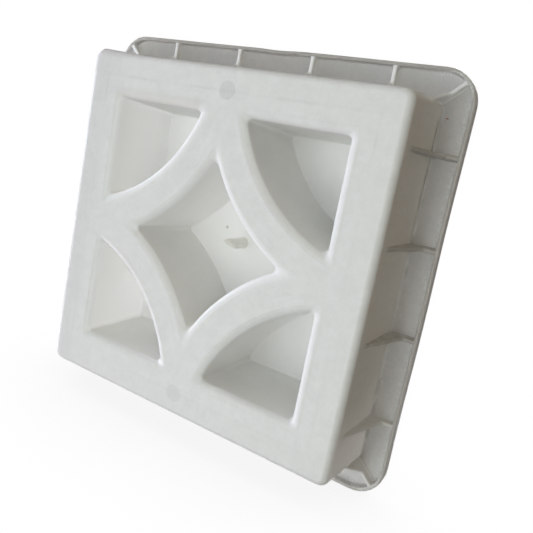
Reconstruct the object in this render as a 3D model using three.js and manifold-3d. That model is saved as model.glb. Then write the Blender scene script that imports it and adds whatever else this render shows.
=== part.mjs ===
import * as THREE from 'three';
import { mergeVertices } from 'three/addons/utils/BufferGeometryUtils.js';
import Module from 'manifold-3d';

// Mould tray for casting one square breeze block, injection moulded in polypropylene.
// Four corner cores and a star core stand up inside the tray and leave the openings of the block.
// From the tray face they are seen as five deep pockets.
//
// The tray stands on the lower edge of its rim, face towards -Y, open casting side towards +Y.
// Outlines are drawn looking at the tray face, x to the right and y up, about its middle.
// Height h is counted from the rim plane (h = 0) to the tray face (h = TRAY_DEPTH).
// All sizes are in millimetres.

// Tray
const TRAY_SIDE = 300;
const TRAY_DEPTH = 73;
const TRAY_CORNER_R = 9;
const WALL_THICKNESS = 3;
const WALL_TAPER = 0.9;
const WALL_DRAFT = 2.8;
const FACE_THICKNESS = 3.6;
const FACE_EDGE_R = 5.5;

// Pockets, measured where their walls would meet the tray face
const WINDOW_BORDER = 38.7;
const ARC_CENTRE = 154.8;
const WINDOW_ARC_R = 140.2;
const STAR_ARC_R = 173.8;
const POCKET_CORNER_R = 4;
const POCKET_DRAFT = 5.4;
const MOUTH_R = 5.6;
const CORE_WALL = 3;
const CORE_FLOOR = 2.4;
const FLOOR_FILLET_R = 1.5;

// Rim round the open side, its width counted from the tray side at the face
const RIM_WIDTH = 26.5;
const RIM_THICKNESS = 3;
const LIP_THICKNESS = 3;
const LIP_TOP = 10;

// Ribs between tray wall and lip; those on the top and bottom sides and at the corners are lower
const RIB_THICKNESS = 3;
const RIB_STATIONS = [-110, -37, 37, 110];
const RIB_LOW_TOP = LIP_TOP - 0.5;
const SIDE_RIB = { foot: 12, apex: 61.5 };
const TOP_RIB = { foot: 8, apex: 29 };
const CORNER_RIB = { foot: 11, apex: 30 };
const RIB_CORNER_CLEARANCE = 0.2;

// Marks left by moulding
const EJECTOR_MARK_R = 8;
const EJECTOR_MARK_DEPTH = 0.3;
const EJECTOR_MARK_FROM_MIDDLE = 130.5;
const STUB_R = 5;
const STUB_LONG_SIDE = 32.5;
const STUB_SHORT_SIDE = 14.5;

// Facets
const ROUND_STEPS = 5;
const CORNER_STEPS = 4;
const RIM_CORNER_STEPS = 8;
const WINDOW_ARC_STEPS = 18;
const STAR_ARC_STEPS = 12;
const MARK_STEPS = 24;
const STUB_STEPS = 20;

const HALF_SIDE = TRAY_SIDE / 2;
const HALF_SPAN = HALF_SIDE + RIM_WIDTH;
const PLATE_BACK = TRAY_DEPTH - FACE_THICKNESS;
const MOUTH_FOOT = TRAY_DEPTH - MOUTH_R;
const QUARTER_TURN = Math.PI / 2;

const wasm = await Module();
wasm.setup();

// The whole mould is one shot of milky, undyed polypropylene with a satin surface.
const polypropylene = new THREE.MeshStandardMaterial({
  name: 'polypropylene',
  color: 0xd9dad5,
  roughness: 0.45,
  metalness: 0,
});

// Outlines: arrays of points, anticlockwise

const arc = (cx, cy, radius, from, to, steps) =>
  new THREE.EllipseCurve(cx, cy, radius, radius, from, to, to < from).getPoints(steps);

function roundedSquare(half, radius, steps = CORNER_STEPS) {
  const middle = half - radius;
  const corners = [[1, 1], [-1, 1], [-1, -1], [1, -1]];
  return corners.flatMap(([sx, sy], turn) => {
    const start = turn * QUARTER_TURN;
    return arc(sx * middle, sy * middle, radius, start, start + QUARTER_TURN, steps);
  });
}

// Lower left window, its walls moved inwards by inset; the other windows are turned copies.
function windowOutline(inset) {
  const edge = WINDOW_BORDER - HALF_SIDE + inset;
  const radius = WINDOW_ARC_R - inset;
  const inner = edge + POCKET_CORNER_R;
  const reach = Math.sqrt((radius - POCKET_CORNER_R) ** 2 - (inner + ARC_CENTRE) ** 2);
  const far = reach - ARC_CENTRE;
  const swing = Math.atan2(inner + ARC_CENTRE, reach);
  return [
    ...arc(inner, inner, POCKET_CORNER_R, Math.PI, 1.5 * Math.PI, CORNER_STEPS),
    ...arc(far, inner, POCKET_CORNER_R, -QUARTER_TURN, swing, CORNER_STEPS),
    ...arc(-ARC_CENTRE, -ARC_CENTRE, radius, swing, QUARTER_TURN - swing, WINDOW_ARC_STEPS).slice(1, -1),
    ...arc(inner, far, POCKET_CORNER_R, QUARTER_TURN - swing, Math.PI, CORNER_STEPS),
  ];
}

// Four-pointed star with hollow sides, its walls moved inwards by inset.
function starOutline(inset) {
  const radius = STAR_ARC_R + inset;
  const tip = ARC_CENTRE - Math.sqrt((radius + POCKET_CORNER_R) ** 2 - ARC_CENTRE ** 2);
  const swing = Math.atan2(ARC_CENTRE, ARC_CENTRE - tip);
  const side = [
    ...arc(tip, 0, POCKET_CORNER_R, -swing, swing, CORNER_STEPS),
    ...arc(ARC_CENTRE, ARC_CENTRE, radius, Math.PI + swing, 1.5 * Math.PI - swing, STAR_ARC_STEPS)
      .slice(1, -1),
  ];
  return [0, 1, 2, 3].flatMap((turns) => turned(side, turns));
}

function turned(outline, turns) {
  const origin = new THREE.Vector2();
  return outline.map((point) => point.clone().rotateAround(origin, turns * QUARTER_TURN));
}

// Solids

// Closed skin through matching outlines, one per level, from the lowest h to the highest.
function loft(levels) {
  const count = levels[0].outline.length;
  const positions = levels.flatMap(({ outline, h }) => outline.flatMap(({ x, y }) => [x, y, h]));
  const faces = [];
  for (let level = 0; level < levels.length - 1; level += 1) {
    for (let i = 0; i < count; i += 1) {
      const a = level * count + i;
      const b = level * count + ((i + 1) % count);
      faces.push(a, b, b + count, a, b + count, a + count);
    }
  }
  const top = (levels.length - 1) * count;
  THREE.ShapeUtils.triangulateShape(levels[0].outline, []).forEach(([a, b, c]) => faces.push(a, c, b));
  THREE.ShapeUtils.triangulateShape(levels.at(-1).outline, []).forEach(([a, b, c]) => {
    faces.push(top + a, top + b, top + c);
  });
  const geometry = new THREE.BufferGeometry();
  geometry.setAttribute('position', new THREE.Float32BufferAttribute(positions, 3));
  geometry.setIndex(faces);
  return geometry;
}

function solid(geometry) {
  const bare = geometry.clone();
  bare.deleteAttribute('normal');
  bare.deleteAttribute('uv');
  const merged = mergeVertices(bare, 1e-5);
  const vertProperties = Float32Array.from(merged.attributes.position.array);
  const triVerts = Uint32Array.from(merged.index.array);
  return new wasm.Manifold(new wasm.Mesh({ numProp: 3, vertProperties, triVerts }));
}

function geometryOf(manifold) {
  const mesh = manifold.getMesh();
  const geometry = new THREE.BufferGeometry();
  geometry.setAttribute('position', new THREE.BufferAttribute(mesh.vertProperties, 3));
  geometry.setIndex(new THREE.BufferAttribute(mesh.triVerts, 1));
  return geometry;
}

const prism = (outline, low, high) => solid(loft([{ outline, h: low }, { outline, h: high }]));

// Inward shift of a pocket wall at height h
const pocketInset = (h) => (POCKET_DRAFT * (TRAY_DEPTH - h)) / (TRAY_DEPTH - CORE_FLOOR);

// The empty space of a pocket: filleted floor, drafted walls and a rounded mouth
function pocketSpace(outlineAt) {
  const levels = [];
  for (let step = 0; step <= ROUND_STEPS; step += 1) {
    const angle = (step / ROUND_STEPS) * QUARTER_TURN;
    const h = CORE_FLOOR + FLOOR_FILLET_R * (1 - Math.cos(angle));
    const inset = pocketInset(h) + FLOOR_FILLET_R * (1 - Math.sin(angle));
    levels.push({ outline: outlineAt(inset), h });
  }
  for (let step = 0; step <= ROUND_STEPS; step += 1) {
    const angle = (step / ROUND_STEPS) * QUARTER_TURN;
    const h = MOUTH_FOOT + MOUTH_R * Math.sin(angle);
    const inset = pocketInset(h) - MOUTH_R * (1 - Math.cos(angle));
    levels.push({ outline: outlineAt(inset), h });
  }
  return solid(loft(levels));
}

function core(outlineAt) {
  const skin = loft([
    { outline: outlineAt(pocketInset(0) - CORE_WALL), h: 0 },
    { outline: outlineAt(pocketInset(PLATE_BACK) - CORE_WALL), h: PLATE_BACK },
  ]);
  return geometryOf(solid(skin).subtract(pocketSpace(outlineAt)));
}

const windowOutlineAt = (turns) => (inset) => turned(windowOutline(inset), turns);

// Outer side of the tray at height h, without the rounding at the face
const sideAt = (h) => HALF_SIDE + (WALL_DRAFT * (TRAY_DEPTH - h)) / TRAY_DEPTH;

// Outer surface of the tray at height h, drafted and rounded over to the face
function trayLevel(h) {
  const rise = Math.max(0, h - (TRAY_DEPTH - FACE_EDGE_R));
  const inset = FACE_EDGE_R - Math.sqrt(FACE_EDGE_R ** 2 - rise ** 2);
  return { outline: roundedSquare(sideAt(h) - inset, TRAY_CORNER_R - inset), h };
}

// Heights on the rounded edge of the face, evenly spaced in angle
function edgeHeights(low, high) {
  const foot = TRAY_DEPTH - FACE_EDGE_R;
  const first = Math.asin((low - foot) / FACE_EDGE_R);
  const last = Math.asin((high - foot) / FACE_EDGE_R);
  const heights = [];
  for (let step = 0; step <= ROUND_STEPS; step += 1) {
    heights.push(foot + FACE_EDGE_R * Math.sin(THREE.MathUtils.lerp(first, last, step / ROUND_STEPS)));
  }
  return heights;
}

function facePlate() {
  const levels = edgeHeights(PLATE_BACK, TRAY_DEPTH).map(trayLevel);
  let plate = solid(loft(levels));
  for (const turns of [0, 1, 2, 3]) {
    plate = plate.subtract(pocketSpace(windowOutlineAt(turns)));
  }
  plate = plate.subtract(pocketSpace(starOutline));
  for (const side of [-1, 1]) {
    const mark = new THREE.CylinderGeometry(
      EJECTOR_MARK_R, EJECTOR_MARK_R, 2 * EJECTOR_MARK_DEPTH, MARK_STEPS,
    );
    mark.rotateX(QUARTER_TURN);
    mark.translate(0, side * EJECTOR_MARK_FROM_MIDDLE, TRAY_DEPTH);
    plate = plate.subtract(solid(mark));
  }
  return geometryOf(plate);
}

function trayWall() {
  const heights = [0, ...edgeHeights(TRAY_DEPTH - FACE_EDGE_R, PLATE_BACK)];
  const outside = solid(loft(heights.map(trayLevel)));
  const room = loft([0, PLATE_BACK].map((h) => {
    const thickness = WALL_THICKNESS + (WALL_TAPER * h) / PLATE_BACK;
    return { outline: roundedSquare(sideAt(h) - thickness, TRAY_CORNER_R - thickness), h };
  }));
  return geometryOf(outside.subtract(solid(room)));
}

const rimOutline = (inset) => roundedSquare(HALF_SPAN - inset, RIM_WIDTH - inset, RIM_CORNER_STEPS);

function rimFlange() {
  const sheet = prism(rimOutline(0), 0, RIM_THICKNESS);
  return geometryOf(sheet.subtract(solid(loft([0, RIM_THICKNESS].map(trayLevel)))));
}

function rimLip() {
  const shape = new THREE.Shape(rimOutline(0));
  shape.holes.push(new THREE.Path(rimOutline(LIP_THICKNESS)));
  const geometry = new THREE.ExtrudeGeometry(shape, { depth: LIP_TOP - RIM_THICKNESS, bevelEnabled: false });
  return geometry.translate(0, 0, RIM_THICKNESS);
}

// Gusset that leans on the wall and runs on as a low rib to the lip, drawn along +x.
function rib(wallAt, end, { foot, apex }) {
  const profile = new THREE.Shape();
  profile.moveTo(wallAt(RIM_THICKNESS), RIM_THICKNESS);
  profile.lineTo(end, RIM_THICKNESS);
  profile.lineTo(end, RIB_LOW_TOP);
  profile.lineTo(wallAt(RIB_LOW_TOP) + foot, RIB_LOW_TOP);
  profile.lineTo(wallAt(apex), apex);
  const geometry = new THREE.ExtrudeGeometry(profile, { depth: RIB_THICKNESS, bevelEnabled: false });
  geometry.rotateX(QUARTER_TURN);
  return geometry.translate(0, RIB_THICKNESS / 2, 0);
}

// Stub of the sprue, cut off at a slant: its upper side is the longer one.
function sprueStub() {
  const geometry = new THREE.CylinderGeometry(STUB_R, STUB_R, STUB_LONG_SIDE, STUB_STEPS);
  geometry.rotateX(QUARTER_TURN);
  geometry.translate(0, 0, STUB_LONG_SIDE / 2);
  const position = geometry.attributes.position;
  for (let i = 0; i < position.count; i += 1) {
    if (position.getZ(i) > 0) {
      const share = (position.getY(i) / STUB_R + 1) / 2;
      position.setZ(i, THREE.MathUtils.lerp(STUB_SHORT_SIDE, STUB_LONG_SIDE, share));
    }
  }
  return geometry.translate(0, 0, CORE_FLOOR);
}

// Assembly

const mould = new THREE.Group();
mould.name = 'breeze_block_mould';
mould.rotation.x = QUARTER_TURN;
mould.position.set(0, TRAY_DEPTH / 2, HALF_SPAN);

function add(name, geometry, turn = 0) {
  const mesh = new THREE.Mesh(geometry, polypropylene);
  mesh.name = name;
  mesh.rotation.z = turn;
  mould.add(mesh);
}

add('face_plate', facePlate());
add('tray_wall', trayWall());
add('star_core', core(starOutline));
['lower_left', 'lower_right', 'upper_right', 'upper_left'].forEach((place, turns) => {
  add(`window_core_${place}`, core(windowOutlineAt(turns)));
});
add('sprue_stub', sprueStub());
add('rim_flange', rimFlange());
add('rim_lip', rimLip());

const sideRibEnd = HALF_SPAN - LIP_THICKNESS;
['right', 'top', 'left', 'bottom'].forEach((side, turns) => {
  RIB_STATIONS.forEach((station, index) => {
    const size = turns % 2 === 0 ? SIDE_RIB : TOP_RIB;
    const geometry = rib(sideAt, sideRibEnd, size).translate(0, station, 0);
    add(`rib_${side}_${index + 1}`, geometry, turns * QUARTER_TURN);
  });
});

const cornerAt = (h) =>
  (sideAt(h) - TRAY_CORNER_R) * Math.SQRT2 + TRAY_CORNER_R + RIB_CORNER_CLEARANCE;
const cornerRibEnd = HALF_SIDE * Math.SQRT2 + RIM_WIDTH - LIP_THICKNESS - RIB_CORNER_CLEARANCE;
['upper_right', 'upper_left', 'lower_left', 'lower_right'].forEach((place, turns) => {
  add(`rib_corner_${place}`, rib(cornerAt, cornerRibEnd, CORNER_RIB), (turns + 0.5) * QUARTER_TURN);
});

export default mould;
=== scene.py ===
import math

import bmesh
import bpy
import numpy as np
from mathutils import Matrix, Vector
from mathutils.geometry import delaunay_2d_cdt


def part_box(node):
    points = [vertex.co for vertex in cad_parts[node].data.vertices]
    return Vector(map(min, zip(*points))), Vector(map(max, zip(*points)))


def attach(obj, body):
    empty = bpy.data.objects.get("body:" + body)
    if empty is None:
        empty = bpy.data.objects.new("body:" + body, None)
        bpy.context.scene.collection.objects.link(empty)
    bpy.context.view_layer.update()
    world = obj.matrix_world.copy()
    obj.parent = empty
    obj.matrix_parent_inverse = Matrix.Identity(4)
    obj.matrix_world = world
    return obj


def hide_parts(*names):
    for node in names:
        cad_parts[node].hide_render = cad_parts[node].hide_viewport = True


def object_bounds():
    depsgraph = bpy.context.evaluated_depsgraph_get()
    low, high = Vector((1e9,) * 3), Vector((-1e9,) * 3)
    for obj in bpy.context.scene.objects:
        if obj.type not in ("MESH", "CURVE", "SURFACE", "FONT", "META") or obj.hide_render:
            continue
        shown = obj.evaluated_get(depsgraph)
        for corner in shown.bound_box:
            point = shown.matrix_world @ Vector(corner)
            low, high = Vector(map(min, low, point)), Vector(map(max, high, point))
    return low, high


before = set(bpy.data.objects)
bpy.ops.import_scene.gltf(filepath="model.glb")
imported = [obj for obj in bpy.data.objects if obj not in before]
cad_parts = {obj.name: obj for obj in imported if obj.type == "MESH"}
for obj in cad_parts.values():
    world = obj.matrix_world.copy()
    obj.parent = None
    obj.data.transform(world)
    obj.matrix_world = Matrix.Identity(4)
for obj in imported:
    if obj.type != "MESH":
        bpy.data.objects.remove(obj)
CAD_LOW, CAD_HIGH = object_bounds()

# A moulded tray for casting a breeze block, stood on the lower edge of its rim.
# Outlines are drawn looking at the tray face, x to the right and v up, about its middle.
# Height h is counted from the rim plane (h = 0) to the tray face (h = DEPTH). All in metres.

MM = 0.001

# Sizes of the moulding that no box shows

WALL_DRAFT = 2.8 * MM
EDGE_R = 5.5 * MM
TRAY_CORNER_R = 9 * MM
WALL = 3 * MM
WALL_TAPER = 0.9 * MM
WINDOW_BORDER = 38.7 * MM
ARC_CENTRE = 154.8 * MM
WINDOW_ARC_R = 140.2 * MM
STAR_ARC_R = 173.8 * MM
POCKET_CORNER_R = 4 * MM
POCKET_DRAFT = 5.4 * MM
MOUTH_R = 5.6 * MM
MOUTH_BEAD = 0.22 * MM
BEAD_WIDTH = 1.1 * MM
CORE_WALL = 3 * MM
FLOOR_FILLET_R = 1.5 * MM
INNER_FILLET_R = 1.5 * MM
LIP = 3 * MM
RIB_BITE = 0.4 * MM
CORNER_CLEARANCE = 0.2 * MM
MARK_R = 8 * MM
MARK_DEPTH = 0.3 * MM
MARK_FROM_MIDDLE = 130.5 * MM
STUB_SHORT_SIDE = 14.5 * MM

# Driving sizes from the frame

WALL_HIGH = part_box("tray_wall")[1]
PLATE_LOW, PLATE_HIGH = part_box("face_plate")
FLANGE_LOW, FLANGE_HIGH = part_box("rim_flange")
LIP_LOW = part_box("rim_lip")[0]
STUB_LOW, STUB_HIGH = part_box("sprue_stub")
RIB_LOW, RIB_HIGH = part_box("rib_right_1")

HALF = WALL_HIGH.x - WALL_DRAFT
SIDE = 2 * HALF
RIM_PLANE = CAD_HIGH.y
MIDDLE = (CAD_LOW.z + CAD_HIGH.z) / 2
DEPTH = RIM_PLANE - PLATE_LOW.y
BORDER_EDGE = HALF - WINDOW_BORDER
PLATE_BACK = RIM_PLANE - PLATE_HIGH.y
MOUTH_FOOT = DEPTH - MOUTH_R
SPAN = FLANGE_HIGH.x
RIM_WIDTH = SPAN - HALF
FLANGE_TOP = RIM_PLANE - FLANGE_LOW.y
LIP_TOP = RIM_PLANE - LIP_LOW.y
CORE_FLOOR = RIM_PLANE - STUB_HIGH.y
STUB_R = (STUB_HIGH.x - STUB_LOW.x) / 2
STUB_LONG_SIDE = STUB_HIGH.y - STUB_LOW.y
RIB_THICKNESS = RIB_HIGH.z - RIB_LOW.z
RIB_LOW_TOP = LIP_TOP - 0.5 * MM
SIDE_RIB_APEX = RIM_PLANE - RIB_LOW.y

# Ribs: how far from the wall their low part begins, and how high they run up the wall

SIDE_RIB = (12 * MM, SIDE_RIB_APEX)
TOP_RIB = (8 * MM, RIM_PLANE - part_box("rib_top_1")[0].y)
CORNER_RIB = (11 * MM, RIM_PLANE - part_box("rib_corner_upper_right")[0].y)

# Fineness

CORNER_STEPS = 8
ROUND_STEPS = 7
LINE_STEPS = 24
CIRCLE_STEPS = 48
ARC_STEPS = 48
SIDE_STEPS = 60
SHEET_GRID = 7 * MM
SEAM_STEP = 0.15 * MM
WELD_GAP = 0.002 * MM
SHARP_ANGLE = 38
QUARTER = math.pi / 2


# Outlines: arrays of points, anticlockwise

def arc(cx, cy, radius, start, stop, steps):
    angle = np.linspace(start, stop, steps + 1)
    return np.column_stack((cx + radius * np.cos(angle), cy + radius * np.sin(angle)))


def line(start, stop, steps):
    """Points between start and stop, without either end."""
    share = np.linspace(0, 1, steps + 1)[1:-1, None]
    return np.asarray(start) * (1 - share) + np.asarray(stop) * share


def turned(outline, turns):
    angle = turns * QUARTER
    c, s = math.cos(angle), math.sin(angle)
    return outline @ np.array([[c, s], [-s, c]])


def circle(x, v, radius, steps=CIRCLE_STEPS):
    return arc(x, v, radius, 0, 2 * math.pi, steps)[:-1]


def closed(*stretches, steps=LINE_STEPS):
    """Joins stretches with straight lines between them, the last back to the first."""
    parts = []
    for here, after in zip(stretches, stretches[1:] + stretches[:1]):
        parts += [here, line(here[-1], after[0], steps)]
    return np.vstack(parts)


def rounded_square(half, radius):
    middle = half - radius
    corners = []
    for turn, (sx, sy) in enumerate([(1, 1), (-1, 1), (-1, -1), (1, -1)]):
        start = turn * QUARTER
        corners.append(arc(sx * middle, sy * middle, radius, start, start + QUARTER, CORNER_STEPS))
    return closed(*corners, steps=SIDE_STEPS)


def window_outline(inset, turns=0):
    """Lower left window with its walls moved inwards by inset, or a turned copy."""
    edge = inset - BORDER_EDGE
    radius = WINDOW_ARC_R - inset
    inner = edge + POCKET_CORNER_R
    reach = math.sqrt((radius - POCKET_CORNER_R) ** 2 - (inner + ARC_CENTRE) ** 2)
    far = reach - ARC_CENTRE
    swing = math.atan2(inner + ARC_CENTRE, reach)
    round_corner = arc(inner, inner, POCKET_CORNER_R, math.pi, 1.5 * math.pi, CORNER_STEPS)
    far_side = np.vstack((
        arc(far, inner, POCKET_CORNER_R, -QUARTER, swing, CORNER_STEPS),
        arc(-ARC_CENTRE, -ARC_CENTRE, radius, swing, QUARTER - swing, ARC_STEPS)[1:-1],
        arc(inner, far, POCKET_CORNER_R, QUARTER - swing, math.pi, CORNER_STEPS),
    ))
    return turned(closed(round_corner, far_side), turns)


def star_outline(inset):
    """Four-pointed star with hollow sides, its walls moved inwards by inset."""
    radius = STAR_ARC_R + inset
    tip = ARC_CENTRE - math.sqrt((radius + POCKET_CORNER_R) ** 2 - ARC_CENTRE ** 2)
    swing = math.atan2(ARC_CENTRE, ARC_CENTRE - tip)
    side = np.vstack((
        arc(tip, 0, POCKET_CORNER_R, -swing, swing, CORNER_STEPS),
        arc(ARC_CENTRE, ARC_CENTRE, radius, math.pi + swing, 1.5 * math.pi - swing, ARC_STEPS)[1:-1],
    ))
    return np.vstack([turned(side, turn) for turn in range(4)])


def pocket_inset(h):
    """Inward shift of a pocket wall at height h: drafted, and rounded over at the mouth."""
    rise = min(MOUTH_R, max(0.0, h - MOUTH_FOOT))
    rounded = MOUTH_R - math.sqrt(MOUTH_R ** 2 - rise ** 2)
    return POCKET_DRAFT * (DEPTH - h) / (DEPTH - CORE_FLOOR) - rounded


# Meshes

def inside(points, outline):
    """Which points lie inside a closed outline, by counting crossings."""
    x, y = points[:, 0][:, None], points[:, 1][:, None]
    ax, ay = outline[:, 0][None], outline[:, 1][None]
    bx, by = np.roll(outline[:, 0], -1)[None], np.roll(outline[:, 1], -1)[None]
    spans = (ay > y) != (by > y)
    with np.errstate(divide="ignore", invalid="ignore"):
        crossing = ax + (y - ay) * (bx - ax) / (by - ay)
    return (spans & (x < crossing)).sum(axis=1) % 2 == 1


def within(points, outer, holes):
    """Which points lie inside outer and outside every hole."""
    keep = inside(points, outer)
    for hole in holes:
        keep &= ~inside(points, hole)
    return keep


class Shell:
    """Collects rings, strips and flat sheets, and welds them into one closed mesh."""

    def __init__(self):
        self.points = []
        self.faces = []

    def add(self, points):
        start = len(self.points)
        self.points += points
        return list(range(start, len(self.points)))

    def ring(self, outline, h):
        return self.add([(x, y, h) for x, y in outline])

    def quads(self, lower, upper):
        """Faces between two open rows of points."""
        for i in range(len(lower) - 1):
            self.faces.append((lower[i], lower[i + 1], upper[i + 1], upper[i]))

    def strip(self, lower, upper):
        """Faces between two rings of points."""
        self.quads(lower + lower[:1], upper + upper[:1])

    def loft(self, levels):
        rings = [self.ring(outline, h) for outline, h in levels]
        for lower, upper in zip(rings, rings[1:]):
            self.strip(lower, upper)
        return rings

    def sheet(self, outer, holes, h, grid=SHEET_GRID):
        """Flat sheet inside outer and outside the holes, on a regular grid of points."""
        low, high = outer.min(axis=0), outer.max(axis=0)
        xs = np.arange(low[0] + grid / 2, high[0], grid)
        ys = np.arange(low[1] + grid / 2, high[1], grid)
        spots = np.array([(x, y) for x in xs for y in ys])
        spots = spots[within(spots, outer, holes)]
        border = np.vstack([outer] + holes)
        gap = np.sqrt(((spots[:, None] - border[None]) ** 2).sum(axis=2)).min(axis=1)
        spots = spots[gap > grid * 0.45]
        edges, start = [], 0
        for loop in [outer] + holes:
            count = len(loop)
            edges += [(start + i, start + (i + 1) % count) for i in range(count)]
            start += count
        flat = [Vector(p) for p in np.vstack((border, spots))]
        made = delaunay_2d_cdt(flat, edges, [], 0, 1e-9)
        spread = np.array([tuple(p) for p in made[0]])
        triangles = np.array(made[2])
        wanted = within(spread[triangles].mean(axis=1), outer, holes)
        base = self.ring(spread, h)[0]
        self.faces += [tuple(int(base + i) for i in t) for t in triangles[wanted]]


def ramp(value, start, end):
    """0 up to start, 1 from end on, straight between them; start may be the higher of the two."""
    return np.clip((value - start) / (end - start), 0, 1)


def settled(x, v, h):
    """How a thin moulding sits: its rim waves, its walls bow out, its face sags, its pockets sit high."""
    reach = np.maximum(np.abs(x), np.abs(v))
    low = 1 - h / DEPTH

    # Rim: a dent and waves along the top, ripples along both sides
    rim = ramp(reach, HALF * 0.9, SPAN) ** 2 * low ** 2
    dent = np.exp(-((x - 4 * MM) / (15 * MM)) ** 2)
    wave = 0.2 * MM * np.sin(x / (31 * MM)) - 0.9 * MM * dent
    lift = ramp(v, 0, HALF) ** 2 * rim * wave
    ripple = 0.3 * MM * np.sin(v / (27 * MM) + 2.6) * x / SPAN

    # Walls: bowed out halfway along and halfway up, bulging at the upper left corner
    outer = ramp(reach, 0.8 * HALF, HALF)
    bow = 0.5 * MM * np.sin(h / DEPTH * math.pi)
    bow_x = bow * np.cos(v / HALF * QUARTER * 0.8) * x / HALF
    bow_v = bow * np.cos(x / HALF * QUARTER * 0.8) * v / HALF
    above_floor = ramp(v, -SPAN, -0.7 * SPAN)
    behind_face = ramp(low, 0, 0.08) * ramp(low, 0.75, 0.4)
    left_end = ramp(x, -95 * MM, -145 * MM) * ramp(v, 0, HALF) ** 4
    bulge_up = 2.4 * MM * left_end * behind_face * ramp(reach, 0.9 * HALF, HALF)
    corner = ramp(x, -125 * MM, -150 * MM) * ramp(v, 120 * MM, 150 * MM)
    bulge_left = 1.8 * MM * corner * behind_face

    # Face: sagging in the middle; pockets pulled up, and to the left above the middle
    sag = 0.3 * MM * np.cos(x / HALF * QUARTER) * np.cos(v / HALF * QUARTER) * np.clip(1 - low, 0, 1)
    sag = np.where(reach < HALF, sag, 0)
    inner = ramp(reach, HALF - 16 * MM, HALF - 32 * MM)
    pulled_left = MM * np.clip(v / (40 * MM), -0.3, 1) * inner * np.clip(1.1 - x / HALF, 0, 1)
    raised = 0.7 * MM * inner

    x = x + rim * ripple + outer * bow_x - bulge_left - pulled_left
    v = v + lift + bulge_up + above_floor * outer * bow_v + raised
    return x, v, h - sag


def stand_up(points):
    """From (x, v, h) to the frame the mould stands in."""
    x, v, h = settled(*np.asarray(points, float).T)
    return np.column_stack((x, RIM_PLANE - h, v + MIDDLE))


def make_piece(node, shell, material):
    """Visible piece that stands in for a CAD node."""
    name = node + "_moulded"
    mesh = bpy.data.meshes.new(name)
    mesh.from_pydata([tuple(p) for p in stand_up(shell.points)], [], shell.faces)
    work = bmesh.new()
    work.from_mesh(mesh)
    bmesh.ops.remove_doubles(work, verts=work.verts, dist=WELD_GAP)
    bmesh.ops.recalc_face_normals(work, faces=work.faces)
    work.to_mesh(mesh)
    work.free()
    mesh.shade_smooth()
    mesh.set_sharp_from_angle(angle=math.radians(SHARP_ANGLE))
    mesh.materials.append(material)
    piece = bpy.data.objects.new(name, mesh)
    bpy.context.scene.collection.objects.link(piece)
    even = piece.modifiers.new("even_normals", "WEIGHTED_NORMAL")
    even.keep_sharp = True
    even.weight = 50
    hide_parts(node)
    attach(piece, "root")
    return piece


# Shapes shared by several pieces

def quarter_round(steps=ROUND_STEPS):
    """Points on a quarter round of radius 1, as distances (near, far) from its two tangents."""
    angles = [step / steps * QUARTER for step in range(steps + 1)]
    return [(1 - math.cos(angle), 1 - math.sin(angle)) for angle in angles]


def side_at(h):
    """Half the width of the tray at height h; its sides spread towards the rim."""
    return HALF + WALL_DRAFT * (DEPTH - h) / DEPTH


def corner_at(h):
    return (side_at(h) - TRAY_CORNER_R) * math.sqrt(2) + TRAY_CORNER_R + CORNER_CLEARANCE


def tray_level(h):
    """Outer surface of the tray at height h, rounded over to the face."""
    rise = min(EDGE_R, max(0.0, h - (DEPTH - EDGE_R)))
    inset = EDGE_R - math.sqrt(EDGE_R ** 2 - rise ** 2)
    return rounded_square(side_at(h) - inset, TRAY_CORNER_R - inset), h


def edge_heights(low, high):
    """Heights on the rounded edge of the face, evenly spaced in angle."""
    foot = DEPTH - EDGE_R
    first = math.asin((low - foot) / EDGE_R)
    last = math.asin(min(1.0, (high - foot) / EDGE_R))
    return [foot + EDGE_R * math.sin(angle) for angle in np.linspace(first, last, ROUND_STEPS + 1)]


def mouth_levels(outline_at):
    """Pocket wall through the face plate, rounded over at the face, with a faint bead round it."""
    first = math.asin((PLATE_BACK - MOUTH_FOOT) / MOUTH_R)
    heights = [PLATE_BACK, PLATE_BACK + SEAM_STEP]
    angles = np.linspace(first, QUARTER, ROUND_STEPS + 1)[1:]
    heights += [MOUTH_FOOT + MOUTH_R * math.sin(angle) for angle in angles]
    levels = [(outline_at(pocket_inset(h)), h) for h in heights]
    levels.append((outline_at(-MOUTH_R - BEAD_WIDTH / 2), DEPTH + MOUTH_BEAD))
    levels.append((outline_at(-MOUTH_R - BEAD_WIDTH), DEPTH))
    return levels


def fillet(distance, radius):
    """How far a fillet of this radius stands out at a distance from the surface it runs into."""
    gap = np.clip(distance, 0, radius)
    return radius - np.sqrt(radius ** 2 - (radius - gap) ** 2)


def inner_heights(low):
    """Heights on the casting side from low up to the back of the face, close together on its fillet."""
    top = PLATE_BACK - INNER_FILLET_R
    fillet_heights = [PLATE_BACK - INNER_FILLET_R * far for near, far in quarter_round(5)[1:]]
    return list(np.linspace(low, top, 9)) + fillet_heights


POCKETS = {"star_core": star_outline}
for turns, place in enumerate(["lower_left", "lower_right", "upper_right", "upper_left"]):
    POCKETS["window_core_" + place] = lambda inset, turns=turns: window_outline(inset, turns)


# Material: worn natural polypropylene. Positions in it are metres in the mould's own frame.

def new_node(nodes, kind, **inputs):
    """A node with some inputs set; _ in an input's name stands for a space."""
    node = nodes.new(kind)
    for name, value in inputs.items():
        node.inputs[name.replace("_", " ")].default_value = value
    return node


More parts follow.
